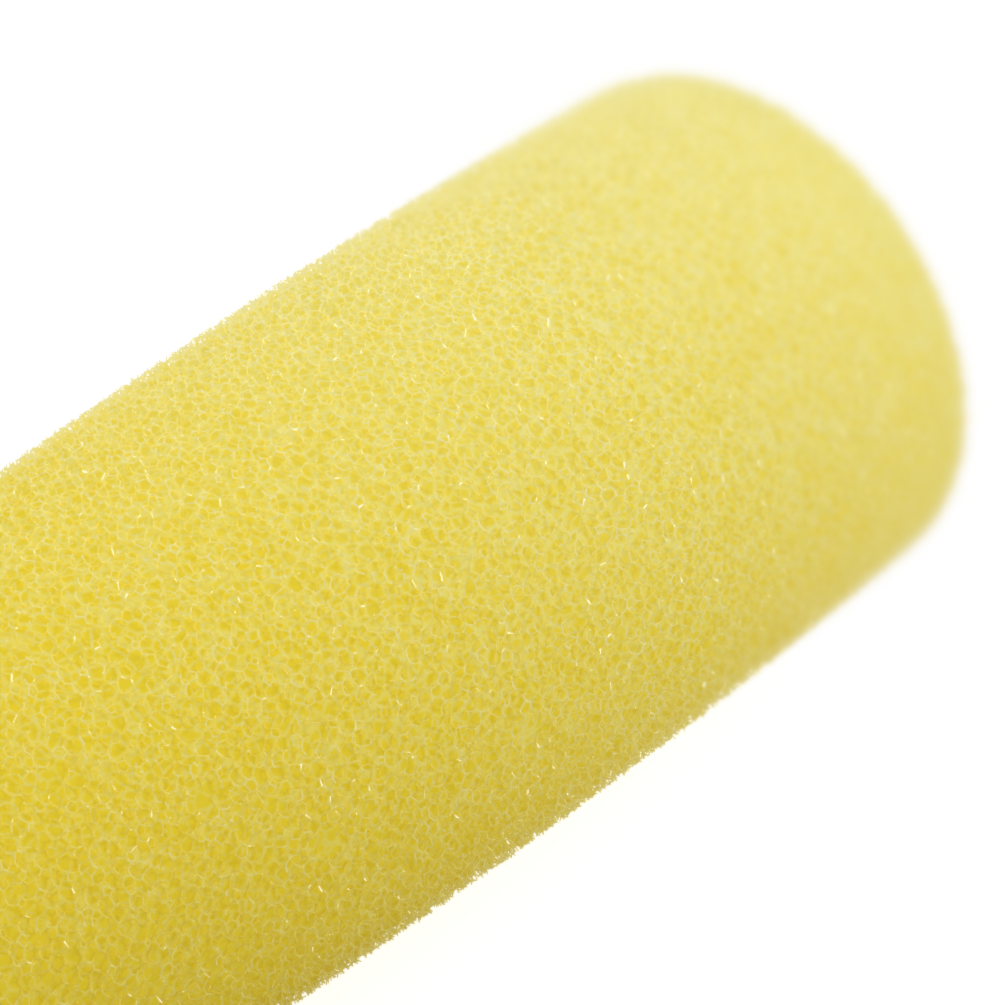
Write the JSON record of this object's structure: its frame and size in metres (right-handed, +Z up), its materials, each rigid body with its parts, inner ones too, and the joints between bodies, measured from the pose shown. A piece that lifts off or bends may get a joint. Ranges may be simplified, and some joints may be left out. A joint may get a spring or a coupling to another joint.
{
  "type": "foam sponge brush",
  "caption": "Painting brush with a long round open-cell foam head that screws onto a turned wooden handle with a hang hole.",
  "frame": {"origin": "centre of the hang hole in the handle's tail", "axes": "+X along the brush, from the handle to the foam head; +Z up, out of the hang hole"},
  "size_m": [0.262, 0.0358, 0.0358],
  "materials": {
    "foam": "open-cell yellow foam, matte",
    "beech": "clear lacquered, satin",
    "ferrule_metal": "drawn, semi-bright",
    "zinc_steel": "zinc plated",
    "brass": "machined",
    "base_plastic": "moulded, fine texture"
  },
  "bodies": {
    "handle": {"handle": "beech", "threaded_insert": "brass", "ferrule": "ferrule_metal", "ferrule_pins": "zinc_steel"},
    "stop_washer": {"stop_washer": "zinc_steel"},
    "head": {"stem_rod": "zinc_steel", "head_base": "base_plastic", "base_nut": "zinc_steel", "core_spindle": "base_plastic", "tip_washer": "zinc_steel", "split_washer": "zinc_steel", "cap_nut": "zinc_steel", "foam_head": "foam"}
  },
  "joints": [
    {"name": "head_travel", "type": "slide", "parent": "handle", "child": "stop_washer", "axis": [1, 0, 0], "range_m": [0, 0.012]},
    {"name": "head_turn", "type": "hinge", "parent": "stop_washer", "child": "head", "pos_m": [0.152, 0, 0], "axis": [1, 0, 0], "range_deg": [0, 4320]}
  ],
  "couplings": [
    {"joint": "head_travel", "follows": "head_turn", "m_per_rad": 0.00015915}
  ]
}
